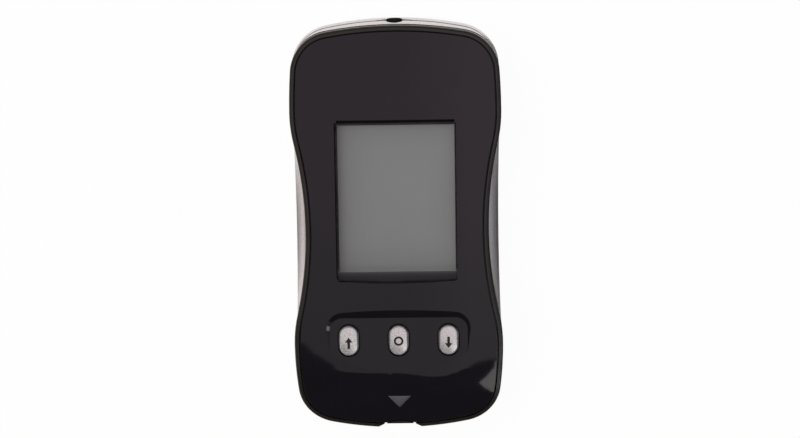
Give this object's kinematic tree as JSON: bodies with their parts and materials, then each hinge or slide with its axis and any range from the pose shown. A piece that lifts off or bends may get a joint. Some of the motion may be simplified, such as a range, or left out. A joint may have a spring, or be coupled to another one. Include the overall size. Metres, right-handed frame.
{
  "type": "blood glucose meter",
  "caption": "Handheld blood glucose meter with a waisted two-tone case, grey display window, oval push buttons, strip port, data jack and sliding battery cover.",
  "frame": {"origin": "middle of the back, on the plane that the meter lies on", "axes": "+Z out of the display, +Y towards the data jack end, +X to the right when the display is read"},
  "size_m": [0.0472, 0.0933, 0.0147],
  "materials": {
    "silver_case": "satin metallic paint",
    "cover_silver": "satin metallic paint",
    "black_bezel": "gloss",
    "black_panel": "high gloss",
    "clear_window": "clear, polished",
    "display_glass": "polished",
    "display_grey": "satin grey film",
    "reflector_film": "satin film",
    "gasket_foam": "matte foam",
    "holder_plastic": "matte",
    "zebra_rubber": "matte",
    "board_green": "solder resist",
    "chip_black": "matte",
    "ceramic_parts": "matte",
    "steel": "brushed",
    "gold_contacts": "plated",
    "button_silver": "satin plated",
    "port_black": "matte"
  },
  "bodies": {
    "housing": {"rear_case": "silver_case", "front_case": "silver_case", "front_bezel": "black_bezel", "front_panel": "black_panel", "display_window": "clear_window", "lcd_glass": "display_glass", "lcd_polariser": "display_grey", "lcd_reflector": "reflector_film", "lcd_gasket": "gasket_foam", "lcd_holder": "holder_plastic", "zebra_strip_upper": "zebra_rubber", "zebra_strip_lower": "zebra_rubber", "main_board": "board_green", "switch_up": "port_black", "switch_select": "port_black", "switch_down": "port_black", "strip_port": "port_black", "strip_connector": "port_black", "strip_contacts": "gold_contacts", "data_jack": "port_black", "jack_terminals": "gold_contacts", "coin_cell_lower": "steel", "coin_cell_upper": "steel", "negative_contacts": "steel", "positive_contacts": "steel", "case_screws": "steel", "microcontroller": "chip_black", "memory_chip": "chip_black", "crystal": "steel", "buzzer": "chip_black", "passives": "ceramic_parts"},
    "up_button": {"button_up": "button_silver", "plunger_up": "port_black"},
    "select_button": {"button_select": "button_silver", "plunger_select": "port_black"},
    "down_button": {"button_down": "button_silver", "plunger_down": "port_black"},
    "cover": {"battery_cover": "cover_silver"}
  },
  "joints": [
    {"name": "up_press", "type": "slide", "parent": "housing", "child": "up_button", "axis": [0, 0, -1], "range_m": [0, 0.00035], "stiffness_N_per_m": 3000, "springref_m": -0.0002},
    {"name": "select_press", "type": "slide", "parent": "housing", "child": "select_button", "axis": [0, 0, -1], "range_m": [0, 0.00035], "stiffness_N_per_m": 3000, "springref_m": -0.0002},
    {"name": "down_press", "type": "slide", "parent": "housing", "child": "down_button", "axis": [0, 0, -1], "range_m": [0, 0.00035], "stiffness_N_per_m": 3000, "springref_m": -0.0002},
    {"name": "battery_cover_slide", "type": "slide", "parent": "housing", "child": "cover", "axis": [0, 1, 0], "range_m": [0, 0.05]}
  ]
}
